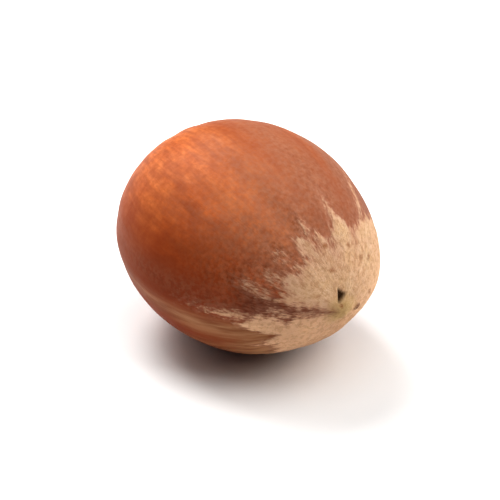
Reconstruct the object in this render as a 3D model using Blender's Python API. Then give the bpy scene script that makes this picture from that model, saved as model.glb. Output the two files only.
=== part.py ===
"""A hazelnut in its shell, lying on its side on a small flat spot.

The shell is one closed solid. A profile runs from the middle of the base scar, over its rim and the
belly, to the tip. It is turned about the nut's long axis with a cross section that is flattened,
lightly ribbed and keeled towards the tip, and the tip stands a little off the axis.
Lengths are in metres. +Z is up, and +X points along the nut from its base to its tip.
"""
import math
import random

import bmesh
import bpy
from mathutils import Matrix

MM = 0.001

# Overall form of the shell
MEAN_RADIUS = 9.8 * MM          # at the widest ring, before the section is flattened
TIP_LENGTH = 12.3 * MM          # from the widest ring to the tip
BASE_LENGTH = 10.95 * MM        # from the widest ring to where the base side would close
TIP_SWELL = 1.91                # powers of the tip side's curve
TIP_BLUNTNESS = 0.53
BASE_SQUARENESS = 2.2           # power of the base side's curve
FLATTENING = 0.071              # share by which the section is wider and lower than round
TIP_SHIFT_ACROSS = 0.75 * MM    # how far the tip stands off the axis, along the section's width
TIP_SHIFT_UP = 0.2 * MM

# Blunt keels that run up to the tip and leave it a little angular, as waves round the section:
# how many, how high as a share of the radius, and where the first one lies
KEELS = (
    (3, 0.051, math.radians(-10)),
    (5, 0.037, math.radians(0)),
)

# The small point that ends the tip
POINT_HEIGHT = 0.35 * MM
POINT_RADIUS = 1.5 * MM

# The base scar, inside the shell's rolled rim
SCAR_RADIUS = 6.5 * MM          # where the shell's curve ends
RIM_ROLL = 0.3 * MM             # width of the rounded rim
GROOVE_DEPTH = 0.35 * MM
GROOVE_WIDTH = 0.4 * MM
SCAR_DOME = 1.25 * MM           # how far the scar's middle stands out

# Low ribs that run from base to tip, as sums of waves round the section
RIB_COUNTS = (13, 17, 22)
RIB_HEIGHT = 0.045 * MM
RIB_GAIN_AT_ENDS = 1.4          # how much higher the ribs are near the rim and the tip
UNEVEN_COUNTS = (4, 5, 7)
UNEVEN_HEIGHT = 0.05 * MM
SEED = 7

# How the nut lies
TIP_DROOP = math.radians(7.6)   # the tip lies lower than the base
FLAT_DEPTH = 0.16 * MM          # how much is worn off where it rests

# Fineness of the mesh
MERIDIANS = 84
TIP_RINGS = 30
BASE_RINGS = 16
RIM_RINGS = 3
SCAR_RINGS = 6
CUT_TOLERANCE = 0.0001 * MM     # points this near the flat spot's plane count as on it
SHARP_ANGLE = math.radians(40)  # edges sharper than this aren't shaded smooth

SHELL_COLOUR = (0.36, 0.165, 0.06, 1.0)
SHELL_ROUGHNESS = 0.42


def clear_scene():
    for item in list(bpy.data.objects):
        bpy.data.objects.remove(item, do_unlink=True)


def tip_radius(x):
    """Radius of the tip side at a distance x in front of the widest ring."""
    return MEAN_RADIUS * max(0.0, 1 - (x / TIP_LENGTH) ** TIP_SWELL) ** TIP_BLUNTNESS


def base_radius(x):
    """Radius of the base side at a distance x behind the widest ring."""
    return MEAN_RADIUS * (1 - (x / BASE_LENGTH) ** BASE_SQUARENESS) ** (1 / BASE_SQUARENESS)


def scar_distance():
    """Distance of the scar's rim behind the widest ring."""
    share = SCAR_RADIUS / MEAN_RADIUS
    return BASE_LENGTH * (1 - share ** BASE_SQUARENESS) ** (1 / BASE_SQUARENESS)


def scar_profile():
    """The domed scar from its middle outwards, then the floor of the groove round it."""
    rim_x = -scar_distance()
    edge = SCAR_RADIUS - RIM_ROLL - GROOVE_WIDTH
    points = []
    for step in range(1, SCAR_RINGS + 1):
        share = step / SCAR_RINGS
        points.append((rim_x - SCAR_DOME * (1 - share ** 2), edge * share))
    points.append((rim_x + GROOVE_DEPTH, edge + GROOVE_WIDTH / 2))
    return points


def rim_profile():
    """The quarter turn of the shell's rim, from the groove out to the shell's own curve."""
    rim_x = -scar_distance()
    points = []
    for step in range(RIM_RINGS):
        angle = math.pi / 2 * step / RIM_RINGS
        x = rim_x + GROOVE_DEPTH / 2 * (1 - math.sin(angle))
        points.append((x, SCAR_RADIUS - RIM_ROLL * math.cos(angle)))
    return points


def shell_profile():
    """The base side from the scar's rim to the widest ring, then the tip side short of its tip."""
    points = []
    last_angle = math.asin(scar_distance() / BASE_LENGTH)
    for step in range(BASE_RINGS):
        x = BASE_LENGTH * math.sin(last_angle * (1 - step / BASE_RINGS))
        points.append((-x, base_radius(x)))
    for step in range(TIP_RINGS):
        x = TIP_LENGTH * math.sin(math.pi / 2 * step / TIP_RINGS)
        points.append((x, tip_radius(x)))
    return points


def waves(counts, rng):
    """Waves round the section, one for each count, with a drawn phase."""
    return [(count, rng.uniform(0, 2 * math.pi)) for count in counts]


def wave_sum(chosen, angle):
    """Mean of the chosen waves at an angle, from -1 to 1."""
    return sum(math.cos(count * angle + phase) for count, phase in chosen) / len(chosen)


def relief(x, radius, angle, ribs, unevenness):
    """Height of the ribs and of the slow unevenness, which fade out at the scar and at the tip."""
    if x < -scar_distance():
        return 0.0
    fade = min(1.0, radius / SCAR_RADIUS) ** 2
    gain = 1 + (RIB_GAIN_AT_ENDS - 1) * (x / TIP_LENGTH) ** 2
    rib_height = RIB_HEIGHT * gain * wave_sum(ribs, angle)
    return fade * (rib_height + UNEVEN_HEIGHT * wave_sum(unevenness, angle))


def shell_point(x, radius, angle, ribs, unevenness):
    """A point of the shell, in the nut's own frame: x along the axis, y across and z up."""
    towards_tip = (max(x, 0.0) / TIP_LENGTH) ** 2
    oval = 1 + FLATTENING * math.cos(2 * angle)
    keels = sum(share * math.cos(count * (angle - turn)) for count, share, turn in KEELS)
    reach = radius * oval * (1 + keels * towards_tip) + relief(x, radius, angle, ribs, unevenness)
    near_tip = max(0.0, 1 - (radius / POINT_RADIUS) ** 2) if x > 0 else 0.0
    y = reach * math.cos(angle) + towards_tip * TIP_SHIFT_ACROSS
    z = reach * math.sin(angle) + towards_tip * TIP_SHIFT_UP
    return (x + POINT_HEIGHT * near_tip ** 2, y, z)


def add_ring(bm, x, radius, ribs, unevenness):
    ring = []
    for step in range(MERIDIANS):
        angle = 2 * math.pi * step / MERIDIANS
        ring.append(bm.verts.new(shell_point(x, radius, angle, ribs, unevenness)))
    return ring


def join_rings(bm, first, second):
    """Four-sided faces between two neighbouring rings."""
    for step in range(MERIDIANS):
        after = (step + 1) % MERIDIANS
        bm.faces.new((first[step], second[step], second[after], first[after]))


def close_ring(bm, ring, middle):
    """A fan of triangles from a ring to one middle point."""
    for step in range(MERIDIANS):
        bm.faces.new((ring[step], ring[(step + 1) % MERIDIANS], middle))


def build_shell(bm):
    rng = random.Random(SEED)
    ribs = waves(RIB_COUNTS, rng)
    unevenness = waves(UNEVEN_COUNTS, rng)
    profile = scar_profile() + rim_profile() + shell_profile()
    rings = [add_ring(bm, x, radius, ribs, unevenness) for x, radius in profile]
    for first, second in zip(rings, rings[1:]):
        join_rings(bm, first, second)
    scar_middle = bm.verts.new((-scar_distance() - SCAR_DOME, 0.0, 0.0))
    tip = bm.verts.new(shell_point(TIP_LENGTH, 0.0, 0.0, ribs, unevenness))
    close_ring(bm, rings[0], scar_middle)
    close_ring(bm, rings[-1], tip)


def lay_down(bm):
    """Tip the nut as it lies and cut the small flat spot that it rests on."""
    droop = Matrix.Rotation(TIP_DROOP, 4, "Y")
    bmesh.ops.transform(bm, matrix=droop, verts=bm.verts)
    ground = min(vert.co.z for vert in bm.verts) + FLAT_DEPTH
    everything = list(bm.verts) + list(bm.edges) + list(bm.faces)
    cut = bmesh.ops.bisect_plane(
        bm, geom=everything, dist=CUT_TOLERANCE, plane_co=(0, 0, ground), plane_no=(0, 0, 1),
        clear_inner=True)
    edge = [item for item in cut["geom_cut"] if isinstance(item, bmesh.types.BMEdge)]
    bmesh.ops.contextual_create(bm, geom=edge)


def centre_on_ground(bm):
    """Put the origin under the middle of the nut's box, at the height of the flat spot."""
    lows = [min(vert.co[axis] for vert in bm.verts) for axis in range(3)]
    highs = [max(vert.co[axis] for vert in bm.verts) for axis in range(3)]
    shift = (-(lows[0] + highs[0]) / 2, -(lows[1] + highs[1]) / 2, -lows[2])
    bmesh.ops.translate(bm, vec=shift, verts=bm.verts)


def shell_material():
    material = bpy.data.materials.new("hazelnut_shell")
    material.use_nodes = True
    shader = material.node_tree.nodes["Principled BSDF"]
    shader.inputs["Base Color"].default_value = SHELL_COLOUR
    shader.inputs["Roughness"].default_value = SHELL_ROUGHNESS
    shader.inputs["Metallic"].default_value = 0.0
    return material


def make_hazelnut():
    bm = bmesh.new()
    build_shell(bm)
    lay_down(bm)
    centre_on_ground(bm)
    bmesh.ops.recalc_face_normals(bm, faces=bm.faces)
    mesh = bpy.data.meshes.new("hazelnut")
    bm.to_mesh(mesh)
    bm.free()
    mesh.shade_smooth()
    mesh.set_sharp_from_angle(angle=SHARP_ANGLE)
    mesh.materials.append(shell_material())
    nut = bpy.data.objects.new("hazelnut", mesh)
    bpy.context.scene.collection.objects.link(nut)
    return nut


clear_scene()
make_hazelnut()
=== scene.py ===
"""Looks of a hazelnut in its shell: satin red-brown shell, pale felted tip and matte base scar.

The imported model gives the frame. One fine mesh replaces its solid: the same form, with the relief
of the fibres, the down, the scar and the small marks at the tip. Short hairs lie over the down as a
second mesh. Lengths are in millimetres while a mesh is worked out, and in metres in the scene. The
nut's long axis runs along x, with the tip at its far end, before the nut is laid down.

The tip chart is a flat map of the shell round its tip. A point of it is run * (cos angle, sin angle),
where run is the way along the shell from the tip and angle goes round the nut.
"""
import math
import random
from itertools import product

import bpy
import numpy as np
from mathutils import Matrix, Vector


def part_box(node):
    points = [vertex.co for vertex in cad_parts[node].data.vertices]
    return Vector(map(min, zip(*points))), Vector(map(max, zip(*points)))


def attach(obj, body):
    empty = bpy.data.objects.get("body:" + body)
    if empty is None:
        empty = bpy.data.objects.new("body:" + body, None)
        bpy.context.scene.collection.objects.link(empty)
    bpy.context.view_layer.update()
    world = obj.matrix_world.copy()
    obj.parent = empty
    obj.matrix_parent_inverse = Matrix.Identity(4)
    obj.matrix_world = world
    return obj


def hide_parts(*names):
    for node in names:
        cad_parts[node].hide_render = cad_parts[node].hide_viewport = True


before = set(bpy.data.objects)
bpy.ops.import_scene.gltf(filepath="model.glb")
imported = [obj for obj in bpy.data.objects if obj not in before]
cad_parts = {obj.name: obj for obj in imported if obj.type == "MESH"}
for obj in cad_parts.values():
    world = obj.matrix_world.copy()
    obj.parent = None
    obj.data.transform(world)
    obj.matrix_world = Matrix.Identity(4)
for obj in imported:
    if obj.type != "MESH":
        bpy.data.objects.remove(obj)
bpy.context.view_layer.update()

MM = 0.001

# Overall form of the shell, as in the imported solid
MEAN_RADIUS = 9.8
TIP_LENGTH = 12.3
BASE_LENGTH = 10.95
TIP_SWELL = 1.91
TIP_BLUNTNESS = 0.53
BASE_SQUARENESS = 2.2
FLATTENING = 0.071
TIP_SHIFT_ACROSS = 0.75
TIP_SHIFT_UP = 0.2
KEELS = (
    (3, 0.051, math.radians(-10)),
    (5, 0.037, math.radians(0)),
)
POINT_HEIGHT = 0.35
POINT_RADIUS = 1.5
SCAR_RADIUS = 6.5
RIM_ROLL = 0.3
GROOVE_DEPTH = 0.35
GROOVE_WIDTH = 0.4
SCAR_DOME = 1.25
RIB_COUNTS = (13, 17, 22)
RIB_HEIGHT = 0.045
RIB_GAIN_AT_ENDS = 1.4
UNEVEN_COUNTS = (4, 5, 7)
UNEVEN_HEIGHT = 0.05
SEED = 7
TIP_DROOP = math.radians(7.6)
FLAT_DEPTH = 0.16

# Fineness of the mesh
MERIDIANS = 456
TIP_RINGS = 106
BASE_RINGS = 56
RIM_RINGS = 5
GROOVE_RINGS = 6
SCAR_RINGS = 40

# Noise in the relief and the masks: how many cells before it repeats, and the seed of each use
NOISE_CELLS = 64
NOISE_SEEDS = {
    "tongues": 31, "wisps": 35, "patches": 39, "band": 41, "crumbs": 43, "fibres": 51, "dents": 55,
    "tufts": 59, "lumps": 61, "cork grain": 67, "scallops": 71, "cork pits": 73,
}

# Fine relief of the shell
FIBRE_HEIGHT = 0.011
FIBRE_WIDTH = 0.45
FIBRE_LENGTH = 9.0
DENT_HEIGHT = 0.035
DENT_SIZE = 3.2
TIP_CALM_RADII = (0.3, 1.3)     # the lengthwise relief fades in between these distances from the axis

# How far the down reaches from the tip along the shell, at angles round the nut in degrees
DOWN_EDGE = (
    (5, 9.2), (12, 11.2), (19, 9.4), (26, 10.3), (33, 9.5), (40, 9.3), (44, 8.5), (50, 7.8), (57, 7.2),
    (62, 7.3), (67, 7.5), (72, 8.0), (77, 8.5), (81, 7.4), (86, 6.6), (90, 6.3), (94, 6.9), (97, 7.1),
    (101, 6.7), (104, 6.3), (108, 7.3), (113, 7.6), (116, 7.4), (119, 6.7), (122, 6.0), (126, 5.7),
    (130, 5.35), (134, 5.5), (139, 5.9), (143, 6.05), (149, 5.85), (155, 5.7), (160, 5.4), (172, 6.5),
    (180, 7.2), (186, 7.4), (189, 8.0), (193, 7.4), (198, 6.0), (206, 5.9), (216, 6.1), (226, 6.6),
    (233, 6.2), (241, 7.8), (250, 7.0), (258, 8.6), (265, 7.4), (274, 9.4), (283, 7.8), (292, 9.0),
    (300, 8.2), (309, 10.6), (317, 8.6), (325, 9.6), (334, 8.2), (342, 10.3), (350, 8.6), (357, 10.4),
)
TONGUE_REACH = 0.6              # how far tongues of down leave the line above, either way
TONGUE_WIDTH = 0.75
TONGUE_LENGTH = 3.4
WISP_REACH = 0.5
WISP_WIDTH = 0.36
WISP_LENGTH = 1.8
PATCH_REACH = 0.75              # unevenness of the edge that isn't drawn out along the nut
PATCH_SIZE = 0.8
RAGGED_BELOW = 1.2              # how much more ragged the edge is on the underside
DOWN_THICKNESS = 0.055
DOWN_EDGE_WIDTH = 0.3
TUFT_WIDTH = 0.5
TUFT_LENGTH = 1.6
HAZE_WIDTH = 9.5                # thin down that dulls the shell beyond the edge
CRUMB_SIZE = 0.6
CRUMB_SHARE = 0.6               # how much the crumbs eat into the outline of a patch or of the rubbed band

# Stray tufts outside the down's edge: place in the tip chart, half the length along the nut, half the
# width, and how full the tuft is
STRAY_TUFTS = (
    (-8.6, -0.47, 1.1, 0.24, 0.2), (-7.1, 2.7, 0.35, 0.2, -0.04), (-6.35, 2.0, 0.35, 0.2, -0.03),
    (-5.5, 3.65, 0.4, 0.22, -0.06), (-4.55, 5.35, 0.3, 0.2, -0.26), (1.75, 8.4, 0.6, 0.17, 0.05),
    (7.6, 7.0, 1.7, 0.26, 0.2), (-3.25, 0.0, 0.3, 0.15, 0.02), (-2.7, 0.13, 0.2, 0.13, 0.02),
    (-5.4, 0.5, 0.3, 0.12, -0.05), (-4.75, 0.0, 0.25, 0.13, -0.02), (-1.8, 7.6, 0.3, 0.15, 0.0),
)
# Bare spots inside the edge: place in the tip chart, half the length along the nut and half the width
BARE_SPOTS = (
    (-3.8, 4.15, 0.4, 0.26), (-2.65, 5.15, 0.22, 0.15), (-3.3, 5.1, 0.3, 0.2), (-1.5, 6.6, 0.9, 0.32),
    (0.05, 6.6, 0.85, 0.3), (3.9, 6.6, 0.7, 0.2), (-3.1, 6.15, 0.22, 0.16), (-4.9, 2.4, 0.3, 0.18),
)

# The band near the tip where the down is rubbed off: its middle line in the tip chart, and half its width
RUBBED_BAND = (
    (-10.0, 1.5, 2.4), (-9.0, 1.2, 1.8), (-8.0, 0.9, 1.4), (-6.8, 0.93, 1.25), (-5.3, 0.7, 1.0),
    (-4.1, 0.32, 0.85), (-3.6, 0.5, 0.5), (-2.45, 0.3, 0.42), (-1.24, 0.12, 0.12), (-0.8, 0.1, 0.04),
)
BAND_FRAY = 0.12
BAND_FRAY_WIDTH = 0.7
BAND_FRAY_LENGTH = 2.0
BAND_FRAY_RUNS = (0.5, 3.0)     # the band's edge gets uneven between these distances from the tip

# Small marks at the tip, in the tip chart
PIT_CORNERS = ((-0.42, 2.14), (-0.46, 0.86), (0.36, 1.41))
PIT_DEPTH = 0.24
PIT_EDGE = 0.15
STUB_PLACE = (1.65, -0.4)
STUB_HEIGHT = 0.14
STUB_SIZE = 0.45
DOWN_MARKS = (                  # place in the tip chart and width of small brown smudges
    (-0.7, 3.95, 0.3), (3.55, 5.15, 0.22), (3.4, 3.75, 0.26), (4.55, 3.0, 0.24), (-0.6, 6.0, 0.2),
    (-1.0, 5.4, 0.18), (2.0, 5.3, 0.16), (-1.9, 4.85, 0.17), (-3.2, 2.9, 0.18), (-2.1, 1.7, 0.14),
    (-0.25, 0.6, 0.12), (3.3, 0.1, 0.16),
)
MARK_FADE = 2                   # a smudge has faded out at this many of its widths from its middle
MARK_STRETCH = 1.1

# Relief of the base scar, whose rim wanders and is finely scalloped
SCAR_LUMP_HEIGHT = 0.16
SCAR_LUMP_SIZE = 1.7
SCAR_GRAIN_HEIGHT = 0.07
SCAR_GRAIN_SIZE = 0.45
SCAR_PIT_DEPTH = 0.16
SCAR_PIT_SIZE = 0.75
SCAR_CALM_SHARES = (0.84, 0.96)  # the scar's relief fades out between these shares of its radius
RIM_WANDER_COUNTS = (2, 3, 5)
RIM_WANDER = 0.34
SCALLOP_SIZE = 0.9
SCALLOP_DEPTH = 0.1
RIM_BLEND = 1.8                 # width of shell that follows the rim's wandering

# Short hairs of the down, laid towards the tip
HAIR_COUNT = 24000
DRAWS_PER_HAIR = 5              # places drawn for each hair, since most lie outside the down
HAIR_FADE = 0.9                 # the hairs thin out over this width inside the down's edge
HAIR_LENGTH = (0.12, 0.28)
HAIR_WIDTH = (0.012, 0.020)
HAIR_LIFT = (math.radians(3), math.radians(14))
HAIR_STRAY = math.radians(16)
HAIR_SINK = 0.004
HAIR_SEED = 83
HAIR_FACES = ((0, 2, 1), (0, 1, 3), (1, 2, 3), (2, 0, 3))
HAIR_POINTS = 4

# What the two end points of the mesh carry as their distance inside the down's edge
MARGIN_AT_SCAR = -20
MARGIN_AT_TIP = 5

# Tones of the shell
SHELL_ORANGE = (0.60, 0.156, 0.026)
SHELL_PALE = (0.87, 0.288, 0.074)
SHELL_RED = (0.64, 0.122, 0.020)
# Painted shade: the shell darkened towards its far side
SHELL_FAR_PAINTED_SHADE = (0.29, 0.072, 0.016)
# Painted shade: the shell's lower side darkened, less on the hidden side
SHELL_PAINTED_SHADE = (0.21, 0.029, 0.003)
BROAD_STREAK = (0.29, 0.062, 0.010)
THIN_STREAK = (0.24, 0.046, 0.008)
DARK_STRIPE = (0.135, 0.034, 0.009)
PALE_LINE = (0.62, 0.24, 0.10)
SHELL_GRAIN = (0.29, 0.058, 0.013)
DAPPLE = (0.27, 0.052, 0.011)
HAZE = (0.37, 0.185, 0.120)
TAN_DARK = (0.25, 0.105, 0.046)
TAN_PALE = (0.50, 0.29, 0.155)
STAIN = (0.20, 0.058, 0.021)
EDGE_SHADE = (0.16, 0.047, 0.015)
BLOOM = (0.50, 0.25, 0.15)
RUBBED_BARE = (0.135, 0.036, 0.013)
WISP = (0.46, 0.25, 0.175)
SMUDGE = (0.33, 0.14, 0.06)
PIT_DARK = (0.07, 0.034, 0.014)
STUB_DARK = (0.16, 0.055, 0.025)

# Tones of the down
DOWN_BUFF = (0.66, 0.445, 0.262)
DOWN_PALE = (0.72, 0.525, 0.36)
# Painted light: the down made paler on its lower side
DOWN_PAINTED_LIGHT_BELOW = (0.83, 0.55, 0.355)
DOWN_STRAND = (0.48, 0.27, 0.145)
DOWN_ROSY = (0.70, 0.45, 0.315)
DOWN_RIM = (0.55, 0.335, 0.235)
DOWN_CRUMB = (0.44, 0.23, 0.12)
DOWN_FLECK = (0.32, 0.16, 0.08)
TIP_OLIVE = (0.52, 0.37, 0.15)
HAIR_PALE = (0.85, 0.68, 0.50)

# Tones of the base scar
CORK_DARK = (0.20, 0.082, 0.036)
CORK_PALE = (0.42, 0.232, 0.118)
CORK_LUMP = (0.19, 0.076, 0.034)
CORK_GRAIN = (0.46, 0.27, 0.145)
CORK_SPECK = (0.52, 0.33, 0.19)
CORK_RIM = (0.15, 0.052, 0.020)

# The photograph's camera in the frame, and the part of the picture that the render shows
PHOTO_SIDE = 500
PHOTO_FOCAL = 500               # the lens's focal length in the photograph's pixels
PHOTO_CAMERA_PLACE = (0.07599, -0.0570, 0.06083)
PHOTO_CAMERA_TILT = math.radians(22.0)
PHOTO_CAMERA_TURN = math.radians(57.07)
VIEW_CENTRE_PIXEL = (279, 312)
VIEW_SIDE_PIXELS = 196
SENSOR_WIDTH = 36.0
NEAREST_SEEN = 0.001

# Studio, in metres and watts
NUT_MIDDLE = (0, 0, 0.009)
LIGHT_DISTANCE = 0.36
SOFTBOXES = (                   # name, degrees round the nut, degrees above the floor, side and power
    ("softbox_behind_right", 52, 46, 0.32, 0.96),
    ("softbox_overhead", 0, 88, 0.24, 0.27),
    ("softbox_behind_left", 182, 50, 0.2, 1.0),
    ("softbox_low_left", 196, 24, 0.24, 0.33),
)
ROOM_COLOUR = (1.0, 0.985, 0.98, 1)
ROOM_LIGHT = 0.08
FLOOR_REACH = 1.5               # half the side of the floor
FLOOR_COLOUR = (0.86, 0.855, 0.85, 1)
FLOOR_GLOW = (0.01, 0.30)       # where the floor's painted glow towards the backdrop starts and ends


def tip_radius(x):
    """Radius of the tip side at distances x in front of the widest ring."""
    return MEAN_RADIUS * np.maximum(0, 1 - (x / TIP_LENGTH) ** TIP_SWELL) ** TIP_BLUNTNESS


def base_radius(x):
    """Radius of the base side at distances x behind the widest ring."""
    return MEAN_RADIUS * (1 - (x / BASE_LENGTH) ** BASE_SQUARENESS) ** (1 / BASE_SQUARENESS)


def base_distance(radius):
    """Distance behind the widest ring at which the base side has a radius."""
    return BASE_LENGTH * (1 - (radius / MEAN_RADIUS) ** BASE_SQUARENESS) ** (1 / BASE_SQUARENESS)


def scar_distance():
    """Distance of the scar's rim behind the widest ring."""
    return base_distance(SCAR_RADIUS)


def ease(value, low, high):
    """Smooth step from 0 at low to 1 at high."""
    share = np.clip((value - low) / (high - low), 0, 1)
    return share * share * (3 - 2 * share)


def profile():
    """Rings from the scar's middle to just short of the tip: place along the axis and radius."""
    rim_x = -scar_distance()
    scar_edge = SCAR_RADIUS - RIM_ROLL - GROOVE_WIDTH
    share = np.arange(1, SCAR_RINGS + 1) / SCAR_RINGS
    scar = (rim_x - SCAR_DOME * (1 - share ** 2), scar_edge * share)
    share = np.arange(1, GROOVE_RINGS + 1) / (GROOVE_RINGS + 1)
    dip = GROOVE_DEPTH * np.sin(np.pi * share) + GROOVE_DEPTH / 2 * share
    groove = (rim_x + dip, scar_edge + GROOVE_WIDTH * share)
    angle = np.pi / 2 * np.arange(RIM_RINGS) / RIM_RINGS
    rim = (rim_x + GROOVE_DEPTH / 2 * (1 - np.sin(angle)), SCAR_RADIUS - RIM_ROLL * np.cos(angle))
    last_angle = math.asin(scar_distance() / BASE_LENGTH)
    back = BASE_LENGTH * np.sin(last_angle * (1 - np.arange(BASE_RINGS) / BASE_RINGS))
    base = (-back, base_radius(back))
    front = TIP_LENGTH * np.sin(np.pi / 2 * np.arange(TIP_RINGS) / TIP_RINGS)
    tip = (front, tip_radius(front))
    return np.concatenate([scar, groove, rim, base, tip], axis=1)


def waves(counts, rng):
    """Waves round the section, one for each count, with a drawn phase."""
    return [(count, rng.uniform(0, 2 * math.pi)) for count in counts]


def wave_sum(chosen, angle):
    """Mean of the chosen waves, from -1 to 1."""
    return sum(np.cos(count * angle + phase) for count, phase in chosen) / len(chosen)


def cell_noise(points, size, seed):
    """Smooth noise from -1 to 1 that varies over about the given size."""
    table = np.random.default_rng(seed).uniform(-1, 1, (NOISE_CELLS,) * 3)
    points = points / size
    cell = np.floor(points).astype(int)
    share = points - cell
    share = share * share * (3 - 2 * share)
    total = np.zeros(points.shape[:-1])
    for corner in product((0, 1), repeat=3):
        weight = np.prod(np.where(corner, share, 1 - share), axis=-1)
        a, b, c = np.moveaxis((cell + corner) % NOISE_CELLS, -1, 0)
        total += weight * table[a, b, c]
    return total


def layered_noise(points, size, purpose, layers=3):
    """Noise with finer, fainter layers added."""
    seed = NOISE_SEEDS[purpose]
    total = sum(cell_noise(points, size / 2 ** layer, seed + layer) / 2 ** layer for layer in range(layers))
    return total / (2 - 2 ** (1 - layers))


class Surface:
    """The nut's surface as a grid of rings by meridians, with the masks that its finish follows."""

    def __init__(self):
        ring_x, ring_radius = profile()
        self.x = np.repeat(ring_x[:, None], MERIDIANS, axis=1)
        self.radius = np.repeat(ring_radius[:, None], MERIDIANS, axis=1)
        self.angle = np.repeat(2 * np.pi * np.arange(MERIDIANS)[None, :] / MERIDIANS, len(ring_x), axis=0)
        step = np.hypot(np.diff(np.append(ring_x, TIP_LENGTH)), np.diff(np.append(ring_radius, 0)))
        run = step[::-1].cumsum()[::-1]
        self.run = np.repeat(run[:, None], MERIDIANS, axis=1)
        self.scar_rings = SCAR_RINGS + GROOVE_RINGS
        self.on_scar = np.arange(len(ring_x))[:, None] < self.scar_rings
        self.scar_share = self.radius / SCAR_RADIUS
        self.round_place = np.stack(
            [MEAN_RADIUS * np.cos(self.angle), MEAN_RADIUS * np.sin(self.angle), self.run], axis=-1)
        self.chart = self.run[..., None] * np.stack([np.cos(self.angle), np.sin(self.angle)], axis=-1)
        self.crumbs = layered_noise(self.points(0), CRUMB_SIZE, "crumbs", 2)
        self.off_rubbed = self.off_band()
        self.margin = self.down_margin()
        self.cover = ease(self.margin, -DOWN_EDGE_WIDTH / 2, DOWN_EDGE_WIDTH / 2)
        self.pit = self.pit_mask()
        self.stub = self.mark(*STUB_PLACE, STUB_SIZE)
        self.marks = sum(self.mark(u, v, size * MARK_FADE, MARK_STRETCH) for u, v, size in DOWN_MARKS)
        self.marks = self.marks * ease(self.crumbs, -0.5, 0.3)
        self.rubbed = (1 - ease(self.off_rubbed, -0.5, 0.6)) * ease(self.chart[..., 0], -9.5, -6.5)
        self.let_rim_wander()

    def let_rim_wander(self):
        """Makes the scar's outline uneven: its rim moves along the shell, and what is near it follows."""
        wander = RIM_WANDER * wave_sum(waves(RIM_WANDER_COUNTS, random.Random(SEED + 1)), self.angle)
        flat_place = self.round_place * (1, 1, 0)
        wander = wander + SCALLOP_DEPTH * layered_noise(flat_place, SCALLOP_SIZE, "scallops", 2)
        rim_x = -base_distance(SCAR_RADIUS + wander)
        inside = self.on_scar | (np.arange(len(self.x))[:, None] < self.scar_rings + RIM_RINGS)
        follow = wander * (1 - ease(self.radius, SCAR_RADIUS, SCAR_RADIUS + RIM_BLEND))
        shell_radius = np.where(self.x < 0, self.radius + follow, self.radius)
        base_x = -base_distance(np.minimum(shell_radius, MEAN_RADIUS))
        shell_x = np.where((self.x < 0) & ~inside, base_x, self.x)
        scar_x = self.x + (rim_x + scar_distance()) * np.minimum(1, self.scar_share) ** 2
        self.x = np.where(inside, scar_x, shell_x)
        self.radius = np.where(inside, self.radius * (1 + wander / SCAR_RADIUS), shell_radius)

    def lengthwise(self, width, length, purpose):
        """Noise drawn out along the nut, with strands of the given width at the widest ring."""
        return layered_noise(self.round_place * (1, 1, width / length), width, purpose)

    def off_band(self):
        """Distance from the band where the down is rubbed off; less than 0 inside it."""
        line_u, line_v, half_widths = zip(*RUBBED_BAND)
        along, across = self.chart[..., 0], self.chart[..., 1]
        middle = np.interp(along, line_u, line_v)
        half_width = np.interp(along, line_u, half_widths)
        beyond_end = np.maximum(0, along - line_u[-1])
        fray = BAND_FRAY * self.lengthwise(BAND_FRAY_WIDTH, BAND_FRAY_LENGTH, "band")
        uneven = (fray + CRUMB_SHARE * self.crumbs) * ease(self.run, *BAND_FRAY_RUNS)
        return np.hypot(across - middle, beyond_end) - half_width + uneven

    def patch(self, u, v, half_length, half_width):
        """How far a point lies inside a small crumbly patch; less than 0 is outside."""
        along, across = self.from_place(u, v)
        reach = 1 + CRUMB_SHARE * self.crumbs
        return (reach - np.hypot(along / half_length, across / half_width)) * half_width

    def down_margin(self):
        """How far a point lies inside the down's ragged edge, in millimetres; less than 0 is outside."""
        angles, reaches = zip(*DOWN_EDGE)
        reach = np.interp(np.degrees(self.angle), angles, reaches, period=360)
        ragged = 1 + RAGGED_BELOW * ease(-np.sin(self.angle), -0.15, 0.5)
        reach = reach + ragged * TONGUE_REACH * self.lengthwise(TONGUE_WIDTH, TONGUE_LENGTH, "tongues")
        reach = reach + ragged * WISP_REACH * self.lengthwise(WISP_WIDTH, WISP_LENGTH, "wisps")
        reach = reach + PATCH_REACH * layered_noise(self.points(0), PATCH_SIZE, "patches")
        margin = np.minimum(reach - self.run, self.off_rubbed)
        for *tuft, fullness in STRAY_TUFTS:
            margin = np.maximum(margin, np.minimum(self.patch(*tuft), fullness))
        for spot in BARE_SPOTS:
            margin = np.minimum(margin, -self.patch(*spot))
        return margin

    def from_place(self, u, v):
        """Distances from a place in the tip chart, along the nut and across it."""
        outward = np.array((u, v)) / math.hypot(u, v)
        offset = self.chart - (u, v)
        return offset @ outward, offset @ np.array((-outward[1], outward[0]))

    def mark(self, u, v, size, stretch=1.0):
        """A small mark at the tip, 1 in its middle, drawn out along the nut by stretch."""
        along, across = self.from_place(u, v)
        return 1 - ease(np.hypot(along / stretch, across), 0.3 * size, size)

    def pit_mask(self):
        """The three-cornered pit, 1 inside it."""
        outside = np.full(self.x.shape, -np.inf)
        corners = [np.array(corner) for corner in PIT_CORNERS]
        for start, end in zip(corners, corners[1:] + corners[:1]):
            edge = (end - start) / np.linalg.norm(end - start)
            offset = self.chart - start
            outside = np.maximum(outside, offset[..., 0] * edge[1] - offset[..., 1] * edge[0])
        return 1 - ease(outside, -PIT_EDGE, PIT_EDGE)

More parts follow.
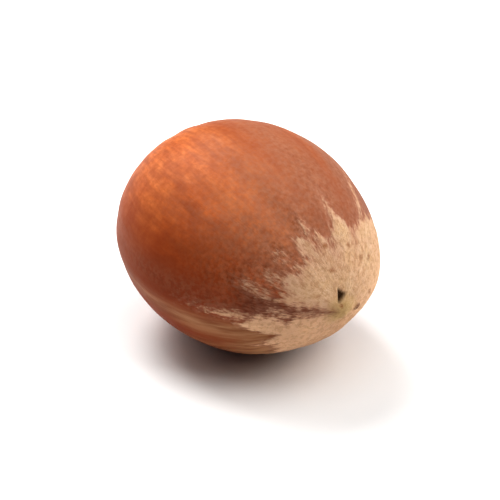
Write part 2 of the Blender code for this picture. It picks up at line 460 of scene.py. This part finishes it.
    def source_relief(self):
        """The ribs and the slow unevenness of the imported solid."""
        rng = random.Random(SEED)
        ribs = wave_sum(waves(RIB_COUNTS, rng), self.angle)
        unevenness = wave_sum(waves(UNEVEN_COUNTS, rng), self.angle)
        fade = np.minimum(1, self.radius / SCAR_RADIUS) ** 2 * (self.x >= -scar_distance())
        gain = 1 + (RIB_GAIN_AT_ENDS - 1) * (self.x / TIP_LENGTH) ** 2
        return fade * (RIB_HEIGHT * gain * ribs + UNEVEN_HEIGHT * unevenness)

    def points(self, relief):
        """The grid's points, still along the axis, with the relief added to the radius."""
        towards_tip = (np.maximum(self.x, 0) / TIP_LENGTH) ** 2
        oval = 1 + FLATTENING * np.cos(2 * self.angle)
        keels = sum(share * np.cos(count * (self.angle - turn)) for count, share, turn in KEELS)
        reach = self.radius * oval * (1 + keels * towards_tip) + relief
        near_tip = np.where(self.x > 0, np.maximum(0, 1 - (self.radius / POINT_RADIUS) ** 2), 0)
        return np.stack([
            self.x + POINT_HEIGHT * near_tip ** 2,
            reach * np.cos(self.angle) + towards_tip * TIP_SHIFT_ACROSS,
            reach * np.sin(self.angle) + towards_tip * TIP_SHIFT_UP], axis=-1)

    def shell_relief(self, plain):
        """Height of the fibres, dents, down and small marks of the shell."""
        calm = ease(self.radius, *TIP_CALM_RADII)
        fibres = FIBRE_HEIGHT * calm * self.lengthwise(FIBRE_WIDTH, FIBRE_LENGTH, "fibres")
        dents = DENT_HEIGHT * layered_noise(plain, DENT_SIZE, "dents", 2)
        tufts = 0.7 + 0.3 * calm * self.lengthwise(TUFT_WIDTH, TUFT_LENGTH, "tufts")
        down = DOWN_THICKNESS * self.cover * tufts
        marks = STUB_HEIGHT * self.stub - PIT_DEPTH * self.pit
        return fibres + dents + down + marks

    def scar_relief(self, plain):
        """Height of the lumps, grain and pits of the base scar, which are calm near its rim."""
        lumps = SCAR_LUMP_HEIGHT * layered_noise(plain, SCAR_LUMP_SIZE, "lumps")
        grain = SCAR_GRAIN_HEIGHT * layered_noise(plain, SCAR_GRAIN_SIZE, "cork grain", 2)
        hollows = ease(layered_noise(plain, SCAR_PIT_SIZE, "cork pits", 2), 0.22, 0.6)
        inside = 1 - ease(self.scar_share, *SCAR_CALM_SHARES)
        return inside * (lumps + grain - SCAR_PIT_DEPTH * hollows)

    def fine_relief(self):
        """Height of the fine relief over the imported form, along the normal."""
        plain = self.points(0)
        return np.where(self.on_scar, self.scar_relief(plain), self.shell_relief(plain))


def normals_of(points):
    """Unit normals of the grid, pointing out."""
    along = np.gradient(points, axis=0)
    around = np.roll(points, -1, axis=1) - np.roll(points, 1, axis=1)
    normal = np.cross(around, along)
    return normal / np.maximum(np.linalg.norm(normal, axis=-1, keepdims=True), 1e-9)


def laid_down(points):
    """Points turned as the nut lies, with its tip low."""
    turn = np.array(Matrix.Rotation(TIP_DROOP, 3, "Y"))
    return points @ turn.T


def points_in_frame(surface):
    """The grid's points and the two poles, with the fine relief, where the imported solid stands."""
    plain = surface.points(surface.source_relief())
    fine = plain + normals_of(plain) * surface.fine_relief()[..., None]
    plain = laid_down(plain)
    fine = laid_down(fine)
    poles = laid_down(np.array([(-scar_distance() - SCAR_DOME, 0, 0),
                                (TIP_LENGTH + POINT_HEIGHT, TIP_SHIFT_ACROSS, TIP_SHIFT_UP)]))
    low = plain.reshape(-1, 3).min(axis=0)
    high = plain.reshape(-1, 3).max(axis=0)
    box_low, box_high = (np.array(corner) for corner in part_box("hazelnut"))
    shift = (box_low + box_high) / 2 - (low + high) / 2 * MM
    shift[2] = box_low[2] - (low[2] + FLAT_DEPTH) * MM
    points = np.concatenate([fine.reshape(-1, 3), poles]) * MM + shift
    points[:, 2] = np.maximum(points[:, 2], box_low[2])
    return points


def grid_faces(rings):
    """Fan round the scar's middle, quads between the rings, and fan round the tip."""
    number = np.arange(rings * MERIDIANS).reshape(rings, MERIDIANS)
    after = np.roll(number, -1, axis=1)
    quads = np.stack([number[:-1], after[:-1], after[1:], number[1:]], axis=-1).reshape(-1, 4)
    scar_pole, tip_pole = rings * MERIDIANS, rings * MERIDIANS + 1
    scar_fan = [(scar_pole, b, a) for a, b in zip(number[0], after[0])]
    tip_fan = [(a, b, tip_pole) for a, b in zip(number[-1], after[-1])]
    return [tuple(map(int, face)) for face in (*scar_fan, *quads, *tip_fan)]


def nut_mesh(surface):
    """The nut's mesh in the frame, with the surface's masks as attributes."""
    points = points_in_frame(surface)
    rings = surface.x.shape[0]
    faces = grid_faces(rings)
    mesh = bpy.data.meshes.new("nutshell")
    mesh.from_pydata(points.tolist(), [], faces)
    mesh.shade_smooth()
    slots = np.zeros(len(faces), dtype=np.int32)
    slots[:MERIDIANS * surface.scar_rings] = 1
    mesh.polygons.foreach_set("material_index", slots)
    keep_grid(mesh, "nut_place", surface.round_place, (0, 0, float(surface.run.max())), (0, 0, 0))
    keep_grid(mesh, "down_margin", surface.margin, MARGIN_AT_SCAR, MARGIN_AT_TIP)
    keep_grid(mesh, "tip_pit", surface.pit)
    keep_grid(mesh, "tip_stub", surface.stub)
    keep_grid(mesh, "down_mark", surface.marks)
    keep_grid(mesh, "rubbed", surface.rubbed)
    keep_grid(mesh, "scar_share", surface.scar_share)
    return mesh, points[:-2].reshape(rings, MERIDIANS, 3)


def hair_roots(surface, rng):
    """Random places on the grid, as evenly spread as the surface is, where the down grows."""
    width = surface.radius[:-1, 0] * -np.diff(surface.run[:, 0])
    chance = np.where(np.arange(len(width)) < surface.scar_rings + RIM_RINGS, 0, width)
    ring = rng.choice(len(width), size=HAIR_COUNT * DRAWS_PER_HAIR, p=chance / chance.sum())
    meridian = rng.integers(0, MERIDIANS, size=len(ring))
    margin = surface.margin[ring, meridian]
    grows = rng.random(len(ring)) < ease(margin, 0, HAIR_FADE) * (1 - surface.pit[ring, meridian])
    return ring[grows][:HAIR_COUNT], meridian[grows][:HAIR_COUNT]


def unit(vectors):
    """Vectors brought to a length of 1."""
    return vectors / np.linalg.norm(vectors, axis=1, keepdims=True)


def down_mesh(surface, points):
    """Slender closed hairs, each with three sides, that lie towards the tip."""
    rng = np.random.default_rng(HAIR_SEED)
    ring, meridian = hair_roots(surface, rng)
    total = len(ring)
    along_share, around_share = rng.random((2, total, 1))
    here = points[ring, meridian]
    ahead = points[ring + 1, meridian] - here
    aside = points[ring, (meridian + 1) % MERIDIANS] - here
    root = here + along_share * ahead + around_share * aside
    ahead = unit(ahead)
    normal = unit(np.cross(aside, ahead))
    aside = np.cross(ahead, normal)
    stray = rng.normal(0, HAIR_STRAY, (total, 1))
    lift = rng.uniform(*HAIR_LIFT, (total, 1))
    flat = np.cos(stray) * ahead + np.sin(stray) * aside
    course = np.cos(lift) * flat + np.sin(lift) * normal
    side = unit(np.cross(course, normal))
    over = np.cross(side, course)
    length = rng.uniform(*HAIR_LENGTH, (total, 1)) * MM
    half = rng.uniform(*HAIR_WIDTH, (total, 1)) / 2 * MM
    root = root - normal * HAIR_SINK * MM
    left = root - side * half - over * half / 2
    right = root + side * half - over * half / 2
    places = np.stack([left, right, root + over * half, root + course * length], axis=1).reshape(-1, 3)
    places[:, 2] = np.maximum(places[:, 2], 0)
    first = HAIR_POINTS * np.arange(total)[:, None, None]
    faces = (first + np.array(HAIR_FACES)).reshape(-1, 3)
    mesh = bpy.data.meshes.new("tip_down")
    mesh.from_pydata(places.tolist(), [], faces.tolist())
    keep(mesh, "nut_place", np.repeat(surface.round_place[ring, meridian], HAIR_POINTS, axis=0))
    keep(mesh, "hair_tone", np.repeat(rng.random(total), HAIR_POINTS))
    keep(mesh, "down_margin", np.repeat(surface.margin[ring, meridian], HAIR_POINTS))
    return mesh


def keep(mesh, name, values):
    """Stores a number or a vector for each point of a mesh, for its material to read."""
    vector = values.ndim == 2
    attribute = mesh.attributes.new(name, "FLOAT_VECTOR" if vector else "FLOAT", "POINT")
    attribute.data.foreach_set("vector" if vector else "value", values.astype(np.float32).ravel())


def keep_grid(mesh, name, values, at_scar_pole=0, at_tip_pole=0):
    """Stores a number or a vector for each point of the grid and the two poles."""
    listed = values.reshape(-1, 3) if values.ndim == 3 else values.ravel()
    keep(mesh, name, np.concatenate([listed, [at_scar_pole], [at_tip_pole]]))


def put(tree, kind, inputs=(), **settings):
    """Adds a node to a tree. An input takes a socket, which is linked, or a plain value."""
    node = tree.nodes.new("ShaderNode" + kind)
    for name, value in settings.items():
        setattr(node, name, value)
    fill(tree, node, dict(inputs))
    return node


def fill(tree, node, inputs):
    """Links or sets a node's inputs."""
    for name, value in inputs.items():
        if isinstance(value, bpy.types.NodeSocket):
            tree.links.new(value, node.inputs[name])
        else:
            node.inputs[name].default_value = value


def reckon(tree, operation, first, second=0.0, third=0.0):
    """A Math node's result."""
    return put(tree, "Math", {0: first, 1: second, 2: third}, operation=operation).outputs[0]


def times(tree, first, *others):
    """Values multiplied together."""
    for other in others:
        first = reckon(tree, "MULTIPLY", first, other)
    return first


def stretched(tree, vector, scale):
    """A vector with each part multiplied."""
    return put(tree, "VectorMath", {0: vector, 1: scale}, operation="MULTIPLY").outputs[0]


def noise(tree, vector, scale, detail, roughness, distortion=0.0):
    """Noise from 0 to 1 over a vector."""
    inputs = {"Vector": vector, "Scale": scale, "Detail": detail, "Roughness": roughness,
              "Distortion": distortion}
    return put(tree, "TexNoise", inputs, noise_dimensions="3D").outputs["Fac"]


def step_up(tree, value, low, high, out_low=0.0, out_high=1.0):
    """A smooth step of a value, from out_low at low to out_high at high."""
    inputs = {"Value": value, "From Min": low, "From Max": high, "To Min": out_low, "To Max": out_high}
    node = put(tree, "MapRange", inputs, interpolation_type="SMOOTHSTEP", clamp=True)
    return node.outputs["Result"]


def ranged(tree, mask, low, high):
    """A mask from 0 to 1 brought to the range from low to high."""
    return step_up(tree, mask, 0.0, 1.0, low, high)


def blend(tree, share, first, second):
    """Two colours mixed by a share."""
    node = put(tree, "Mix", data_type="RGBA", clamp_factor=True)
    for name, value in (("Factor_Float", share), ("A_Color", first), ("B_Color", second)):
        socket = next(item for item in node.inputs if item.identifier == name)
        if isinstance(value, bpy.types.NodeSocket):
            tree.links.new(value, socket)
        else:
            socket.default_value = (*value, 1.0)
    return next(item for item in node.outputs if item.identifier == "Result_Color")


def lay(tree, colour, tone, *shares):
    """A tone laid over a colour by the product of the shares."""
    return blend(tree, times(tree, *shares), colour, tone)


def read(tree, name, output="Fac"):
    """A value that the mesh carries."""
    return put(tree, "Attribute", attribute_name=name).outputs[output]


def new_group(name, inputs):
    """An empty shader node group that puts out a mask. Inputs are (name, kind, value)."""
    tree = bpy.data.node_groups.new(name, "ShaderNodeTree")
    for label, kind, value in inputs:
        socket = tree.interface.new_socket(label, in_out="INPUT", socket_type="NodeSocket" + kind)
        if value is not None:
            socket.default_value = value
    tree.interface.new_socket("Mask", in_out="OUTPUT", socket_type="NodeSocketFloat")
    way_in = tree.nodes.new("NodeGroupInput")
    way_out = tree.nodes.new("NodeGroupOutput")
    return tree, way_in.outputs, way_out.inputs


def drawn_out(tree, place, across, along, detail, roughness, distortion=0.0):
    """Noise over a place on the nut, with one scale across it and another along it."""
    scale = put(tree, "CombineXYZ", {"X": across, "Y": across, "Z": along}).outputs[0]
    return noise(tree, stretched(tree, place, scale), 1.0, detail, roughness, distortion)


def lengthwise_streaks():
    """Strands that run from base to tip: Width and Length in millimetres, Share of the surface."""
    tree, given, out = new_group(
        "Lengthwise streaks",
        [("Place", "Vector", None), ("Width", "Float", 0.5), ("Length", "Float", 8.0),
         ("Share", "Float", 0.4), ("Softness", "Float", 0.1)])
    across = reckon(tree, "DIVIDE", 1.0, given["Width"])
    along = reckon(tree, "DIVIDE", 1.0, given["Length"])
    strands = drawn_out(tree, given["Place"], across, along, 3.0, 0.55, 0.25)
    middle = reckon(tree, "MULTIPLY_ADD", given["Share"], -0.4, 0.7)
    low = reckon(tree, "SUBTRACT", middle, given["Softness"])
    high = reckon(tree, "ADD", middle, given["Softness"])
    tree.links.new(step_up(tree, strands, low, high), out["Mask"])
    return tree


def mottle():
    """Cloudy patches: Size in millimetres, Contrast from 0 to 1."""
    tree, given, out = new_group(
        "Mottle", [("Point", "Vector", None), ("Size", "Float", 1.0), ("Contrast", "Float", 0.5)])
    scale = reckon(tree, "DIVIDE", 1.0, given["Size"])
    clouds = noise(tree, given["Point"], scale, 4.0, 0.6)
    reach = reckon(tree, "MULTIPLY_ADD", given["Contrast"], -0.3, 0.38)
    low = reckon(tree, "SUBTRACT", 0.5, reach)
    high = reckon(tree, "ADD", 0.5, reach)
    tree.links.new(step_up(tree, clouds, low, high), out["Mask"])
    return tree


def flecks():
    """Sparse small dashes that lie along the nut: Size in millimetres, Share of the surface."""
    tree, given, out = new_group(
        "Flecks", [("Place", "Vector", None), ("Size", "Float", 0.4), ("Share", "Float", 0.1)])
    across = reckon(tree, "DIVIDE", 1.0, given["Size"])
    along = times(tree, across, 0.35)
    dashes = drawn_out(tree, given["Place"], across, along, 1.5, 0.5, 0.6)
    low = reckon(tree, "MULTIPLY_ADD", given["Share"], -0.4, 0.72)
    high = reckon(tree, "ADD", low, 0.08)
    tree.links.new(step_up(tree, dashes, low, high), out["Mask"])
    return tree


def ragged_edge():
    """A mask whose edge is frayed by fine strands: Margin, Fray and Width in millimetres."""
    tree, given, out = new_group(
        "Ragged edge",
        [("Margin", "Float", 0.0), ("Place", "Vector", None), ("Fray", "Float", 0.4),
         ("Width", "Float", 0.2), ("Softness", "Float", 0.1)])
    across = reckon(tree, "DIVIDE", 1.0, given["Width"])
    along = times(tree, across, 0.6)
    strands = drawn_out(tree, given["Place"], across, along, 3.0, 0.6)
    either_way = reckon(tree, "SUBTRACT", strands, 0.5)
    frayed = reckon(tree, "MULTIPLY_ADD", either_way, given["Fray"], given["Margin"])
    low = times(tree, given["Softness"], -1.0)
    tree.links.new(step_up(tree, frayed, low, given["Softness"]), out["Mask"])
    return tree


class Masks:
    """The shared groups, placed in one material's tree over the places that the mesh carries."""

    def __init__(self, tree, groups, place=None):
        self.tree = tree
        self.groups = groups
        self.place = place
        self.point = stretched(tree, put(tree, "TexCoord").outputs["Object"], (1 / MM, 1 / MM, 1 / MM))

    def parts(self):
        """Place across the nut, up it and along it from the tip, on a round nut of the mean radius."""
        return put(self.tree, "SeparateXYZ", {0: self.place}).outputs

    def use(self, name, inputs):
        node = self.tree.nodes.new("ShaderNodeGroup")
        node.node_tree = self.groups[name]
        fill(self.tree, node, inputs)
        return node.outputs["Mask"]

    def streaks(self, width, length, share, softness):
        return self.use("streaks", {"Place": self.place, "Width": width, "Length": length,
                                    "Share": share, "Softness": softness})

    def clouds(self, size, contrast):
        return self.use("clouds", {"Point": self.point, "Size": size, "Contrast": contrast})

    def dashes(self, size, share):
        return self.use("dashes", {"Place": self.place, "Size": size, "Share": share})

    def frayed(self, margin, fray, width, softness):
        return self.use("frayed", {"Margin": margin, "Place": self.place, "Fray": fray,
                                   "Width": width, "Softness": softness})


def new_material(name):
    """A material with its Principled shader, ready to be linked."""
    material = bpy.data.materials.new(name)
    material.use_nodes = True
    tree = material.node_tree
    return material, tree, tree.nodes["Principled BSDF"]


def shell_ground(masks, hidden_side):
    """Orange-brown patches, redder in the middle, with painted shade that darkens the far side and the
    lower side.
    """
    tree = masks.tree
    across, up, run = masks.parts()
    colour = blend(tree, masks.clouds(size=3.2, contrast=0.5), SHELL_ORANGE, SHELL_PALE)
    upper_middle = step_up(tree, up, 9.3, 5.0, 0.0, 0.55)
    colour = lay(tree, colour, SHELL_RED, upper_middle, step_up(tree, run, 19.0, 13.0))
    # Painted shade: darker towards the far side
    colour = lay(tree, colour, SHELL_FAR_PAINTED_SHADE, step_up(tree, across, -7.0, 2.0, 0.0, 0.84))
    # Painted shade: darker towards the underside, weaker on the hidden side
    painted_shade_below = step_up(tree, up, 7.6, -0.5, 0.0, 0.93)
    return lay(tree, colour, SHELL_PAINTED_SHADE, painted_shade_below, ranged(tree, hidden_side, 1.0, 0.45))


def shell_streaks(masks, colour, hidden_side):
    """The shell's streaks, which are strongest near the base and on the hidden side, and its grain."""
    tree = masks.tree
    _, up, run = masks.parts()
    near_base = step_up(tree, run, 9.0, 18.0)
    streaked = reckon(tree, "MAXIMUM", near_base, times(tree, hidden_side, 0.8))
    broad = masks.streaks(width=0.9, length=5.0, share=0.45, softness=0.2)
    colour = lay(tree, colour, BROAD_STREAK, broad, ranged(tree, streaked, 0.14, 0.42))
    thin = masks.streaks(width=0.6, length=3.0, share=0.4, softness=0.2)
    colour = lay(tree, colour, THIN_STREAK, thin, ranged(tree, streaked, 0.12, 0.5))
    stripes = masks.streaks(width=1.3, length=8.0, share=0.55, softness=0.14)
    colour = lay(tree, colour, DARK_STRIPE, stripes, hidden_side, 0.6)
    lines = masks.streaks(width=0.3, length=2.2, share=0.25, softness=0.14)
    colour = lay(tree, colour, PALE_LINE, lines, step_up(tree, up, 2.0, 8.0, 0.05, 0.2))
    grain = masks.clouds(size=0.5, contrast=0.55)
    colour = lay(tree, colour, SHELL_GRAIN, grain, 0.4)
    colour = lay(tree, colour, DAPPLE, masks.clouds(size=1.2, contrast=0.6), 0.36)
    return colour, grain


def shell_near_down(masks, colour, margin):
    """Haze of thin down, tan bands below, and the stained, shaded and rubbed shell along the edge."""
    tree = masks.tree
    across, up, _ = masks.parts()
    top_side = step_up(tree, up, 1.4, 8.6)
    haze = times(tree, step_up(tree, margin, -HAZE_WIDTH, 0.0), ranged(tree, top_side, 0.06, 1.0))
    fuzz = masks.clouds(size=0.35, contrast=0.5)
    colour = lay(tree, colour, HAZE, haze, ranged(tree, fuzz, 0.5, 0.85))

    below = times(tree, step_up(tree, up, -0.6, -2.7), step_up(tree, margin, -5.4, -1.4))
    bands = masks.streaks(width=0.9, length=4.5, share=0.5, softness=0.22)
    colour = lay(tree, colour, blend(tree, bands, TAN_DARK, TAN_PALE), below, 0.88)

    stain = masks.clouds(size=0.38, contrast=0.6)
    near_edge = times(tree, step_up(tree, margin, -4.6, -0.2), step_up(tree, up, -1.0, 1.0))
    less_on_top = ranged(tree, top_side, 1.0, 0.55)
    colour = lay(tree, colour, STAIN, near_edge, ranged(tree, stain, 0.15, 0.75), less_on_top)
    at_edge = step_up(tree, margin, -1.3, -0.2)
    blotches = step_up(tree, stain, 0.1, 1.0, 0.0, 0.55)
    near_side = step_up(tree, across, 1.0, -3.0, 0.3, 1.0)
    colour = lay(tree, colour, EDGE_SHADE, at_edge, blotches, near_side)
    colour = lay(tree, colour, BLOOM, masks.clouds(size=0.4, contrast=0.9), near_edge, 0.2)
    colour = lay(tree, colour, RUBBED_BARE, read(tree, "rubbed"), ranged(tree, stain, 0.75, 1.0))
    return colour, haze


def down_colour(masks, margin):
    """Buff felt, paler below as painted light, rosier near its edge, with browner strands, dark marks and
    olive fibres at the tip.
    """
    tree = masks.tree
    _, up, run = masks.parts()
    buff = blend(tree, masks.clouds(size=0.8, contrast=0.4), DOWN_BUFF, DOWN_PALE)
    # Painted light: the down paler towards its underside
    buff = lay(tree, buff, DOWN_PAINTED_LIGHT_BELOW, step_up(tree, up, 6.0, -3.0, 0.0, 0.8))
    strands = masks.streaks(width=0.4, length=3.6, share=0.45, softness=0.2)
    buff = lay(tree, buff, DOWN_STRAND, strands, 0.36)
    buff = lay(tree, buff, DOWN_ROSY, masks.clouds(size=1.7, contrast=0.6), 0.45)
    upper_edge = times(tree, step_up(tree, margin, 1.1, 0.0), step_up(tree, up, -1.0, 1.5, 0.4, 1.0))
    buff = lay(tree, buff, DOWN_RIM, upper_edge, 0.6)
    crumbs = masks.clouds(size=0.42, contrast=1.0)
    buff = lay(tree, buff, DOWN_CRUMB, step_up(tree, crumbs, 0.6, 1.0, 0.0, 0.35))
    buff = lay(tree, buff, DOWN_FLECK, masks.dashes(size=0.5, share=0.06), 0.5)
    return lay(tree, buff, TIP_OLIVE, step_up(tree, run, 0.3, 2.0, 0.6, 0.0))


def dressed_colour(masks, margin):
    """The shell, its down and the small marks at the tip, and the masks that gloss and relief follow."""
    tree = masks.tree
    hidden_side = step_up(tree, masks.parts()["X"], 0.5, 6.5)
    colour = shell_ground(masks, hidden_side)
    colour, grain = shell_streaks(masks, colour, hidden_side)
    colour, haze = shell_near_down(masks, colour, margin)
    wisps = masks.frayed(reckon(tree, "ADD", margin, 0.5), fray=3.0, width=0.34, softness=0.6)
    colour = lay(tree, colour, WISP, wisps, 0.28)
    down = masks.frayed(margin, fray=1.9, width=0.28, softness=0.42)
    colour = lay(tree, colour, down_colour(masks, margin), down)
    colour = lay(tree, colour, SMUDGE, read(tree, "down_mark"), 0.8)
    colour = lay(tree, colour, PIT_DARK, read(tree, "tip_pit"))
    colour = lay(tree, colour, STUB_DARK, read(tree, "tip_stub"), 0.85)
    return colour, grain, haze, down


def add_bump(tree, shader, height, strength, distance):
    """Fine relief under the gloss, with its full height in millimetres."""
    bump = put(tree, "Bump", {"Height": height, "Strength": strength, "Distance": distance * MM})
    tree.links.new(bump.outputs["Normal"], shader.inputs["Normal"])


def shell_material(groups):
    """Satin red-brown shell, dulled towards the tip, under pale down."""
    material, tree, shader = new_material("Polished shell and pale down")
    masks = Masks(tree, groups, read(tree, "nut_place", "Vector"))
    colour, grain, haze, down = dressed_colour(masks, read(tree, "down_margin"))
    tree.links.new(colour, shader.inputs["Base Color"])

    rough = put(tree, "Mix", data_type="FLOAT")
    uneven = reckon(tree, "MULTIPLY_ADD", grain, 0.08, ranged(tree, haze, 0.46, 0.62))
    fill(tree, rough, {"Factor": down, "A": uneven, "B": 0.92})
    tree.links.new(rough.outputs["Result"], shader.inputs["Roughness"])

    fibres = masks.streaks(width=0.2, length=6.0, share=0.5, softness=0.25)
    felt = noise(tree, stretched(tree, masks.place, (8.0, 8.0, 3.0)), 1.0, 4.0, 0.65, 0.4)
    smooth_height = reckon(tree, "MULTIPLY_ADD", grain, 0.12, times(tree, fibres, 0.08))
    height = reckon(tree, "ADD", smooth_height, times(tree, felt, down, 1.1))
    add_bump(tree, shader, height, strength=1.0, distance=0.05)
    shader.inputs["Specular IOR Level"].default_value = 0.14
    shader.inputs["Sheen Weight"].default_value = 0.04
    shader.inputs["Sheen Roughness"].default_value = 0.35
    shader.inputs["Sheen Tint"].default_value = (1.0, 0.86, 0.74, 1)
    return material


def down_material(groups):
    """The hairs of the down, each a little paler or browner than the next."""
    material, tree, shader = new_material("Pale down hairs")
    masks = Masks(tree, groups, read(tree, "nut_place", "Vector"))
    margin = read(tree, "down_margin")
    tone = step_up(tree, read(tree, "hair_tone"), 0.2, 1.0, 0.0, 0.8)
    paler_inside = step_up(tree, margin, 0.1, 1.2, 0.3, 1.0)
    buff = lay(tree, down_colour(masks, margin), HAIR_PALE, tone, paler_inside)
    tree.links.new(buff, shader.inputs["Base Color"])
    shader.inputs["Roughness"].default_value = 0.75
    shader.inputs["Specular IOR Level"].default_value = 0.25
    return material


def scar_material(groups):
    """Matte corky scar where the nut grew from its husk."""
    material, tree, shader = new_material("Corky base scar")
    masks = Masks(tree, groups)
    share = read(tree, "scar_share")
    colour = blend(tree, masks.clouds(size=3.4, contrast=0.85), CORK_DARK, CORK_PALE)
    lumps = masks.clouds(size=1.1, contrast=0.8)
    colour = lay(tree, colour, CORK_LUMP, lumps, 0.6)
    grain = masks.clouds(size=0.4, contrast=0.7)
    colour = lay(tree, colour, CORK_GRAIN, grain, 0.28)
    specks = masks.clouds(size=0.2, contrast=1.0)
    colour = lay(tree, colour, CORK_SPECK, specks, step_up(tree, share, 0.45, 0.82, 0.08, 0.4))
    colour = lay(tree, colour, CORK_RIM, step_up(tree, share, 0.82, 0.94), ranged(tree, lumps, 0.45, 0.8))
    tree.links.new(colour, shader.inputs["Base Color"])
    shader.inputs["Roughness"].default_value = 0.88
    shader.inputs["Specular IOR Level"].default_value = 0.3
    height = reckon(tree, "ADD", grain, times(tree, specks, 0.6))
    add_bump(tree, shader, height, strength=0.9, distance=0.08)
    return material


def floor_material():
    """Plain pale studio surface. Its far part glows, painted light that makes it as bright as a white
    backdrop.
    """
    material, tree, shader = new_material("Pale studio floor")
    shader.inputs["Base Color"].default_value = FLOOR_COLOUR
    shader.inputs["Roughness"].default_value = 0.7
    place = put(tree, "TexCoord").outputs["Object"]
    distance = put(tree, "VectorMath", {0: place}, operation="LENGTH").outputs["Value"]
    # Painted light: the floor glows more the farther it lies from its middle
    glow = blend(tree, step_up(tree, distance, *FLOOR_GLOW), (0, 0, 0), (1, 1, 1))
    tree.links.new(glow, shader.inputs["Emission Color"])
    shader.inputs["Emission Strength"].default_value = 1.0
    return material


def add_to_scene(item):
    bpy.context.scene.collection.objects.link(item)


def make_nut():
    groups = {
        "streaks": lengthwise_streaks(), "clouds": mottle(), "dashes": flecks(), "frayed": ragged_edge()}
    surface = Surface()
    mesh, points = nut_mesh(surface)
    nut = bpy.data.objects.new("nutshell", mesh)
    add_to_scene(nut)
    nut.data.materials.append(shell_material(groups))
    nut.data.materials.append(scar_material(groups))
    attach(nut, "root")
    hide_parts("hazelnut")
    down = bpy.data.objects.new("tip_down", down_mesh(surface, points))
    add_to_scene(down)
    down.data.materials.append(down_material(groups))
    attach(down, "root")


def make_floor():
    mesh = bpy.data.meshes.new("studio_floor")
    corners = [(x * FLOOR_REACH, y * FLOOR_REACH, 0) for x, y in ((-1, -1), (1, -1), (1, 1), (-1, 1))]
    mesh.from_pydata(corners, [], [(0, 1, 2, 3)])
    mesh.materials.append(floor_material())
    floor = bpy.data.objects.new("studio_floor", mesh)
    add_to_scene(floor)


def make_light(name, turn, height, size, power):
    """A square soft light that faces the nut, at an angle round it and an angle above the floor."""
    data = bpy.data.lights.new(name, "AREA")
    data.shape = "SQUARE"
    data.size = size
    data.energy = power
    light = bpy.data.objects.new(name, data)
    turn, height = math.radians(turn), math.radians(height)
    level = math.cos(height)
    away = Vector((math.cos(turn) * level, math.sin(turn) * level, math.sin(height)))
    light.location = Vector(NUT_MIDDLE) + away * LIGHT_DISTANCE
    light.rotation_mode = "QUATERNION"
    light.rotation_quaternion = (-away).to_track_quat("-Z", "Y")
    add_to_scene(light)


def make_lights():
    """The softboxes, and a room that looks white to the camera but lights the nut only faintly."""
    for softbox in SOFTBOXES:
        make_light(*softbox)
    world = bpy.data.worlds.new("studio_white")
    world.use_nodes = True
    tree = world.node_tree
    background = tree.nodes["Background"]
    background.inputs["Color"].default_value = ROOM_COLOUR
    seen = put(tree, "LightPath").outputs["Is Camera Ray"]
    tree.links.new(ranged(tree, seen, ROOM_LIGHT, 1.0), background.inputs["Strength"])
    bpy.context.scene.world = world


def make_camera():
    """The photograph's camera, turned and narrowed to the part of the picture that holds the nut."""
    data = bpy.data.cameras.new("photo_camera")
    data.sensor_width = SENSOR_WIDTH
    data.lens = SENSOR_WIDTH * PHOTO_FOCAL / VIEW_SIDE_PIXELS
    data.clip_start = NEAREST_SEEN
    camera = bpy.data.objects.new("photo_camera", data)
    tilt = Matrix.Rotation(math.pi / 2 - PHOTO_CAMERA_TILT, 3, "X")
    photo_turn = Matrix.Rotation(PHOTO_CAMERA_TURN, 3, "Z") @ tilt
    across = VIEW_CENTRE_PIXEL[0] - PHOTO_SIDE / 2
    down = VIEW_CENTRE_PIXEL[1] - PHOTO_SIDE / 2
    back = Vector((-across, down, PHOTO_FOCAL)).normalized()
    right = (Vector((1, 0, 0)) - back * back.x).normalized()
    aim = Matrix((right, back.cross(right), back)).transposed()
    camera.matrix_world = Matrix.Translation(PHOTO_CAMERA_PLACE) @ (photo_turn @ aim).to_4x4()
    add_to_scene(camera)
    bpy.context.scene.camera = camera


make_camera()
make_nut()
make_floor()
make_lights()
bpy.context.scene.view_settings.view_transform = "Standard"
bpy.context.scene.view_settings.look = "High Contrast"
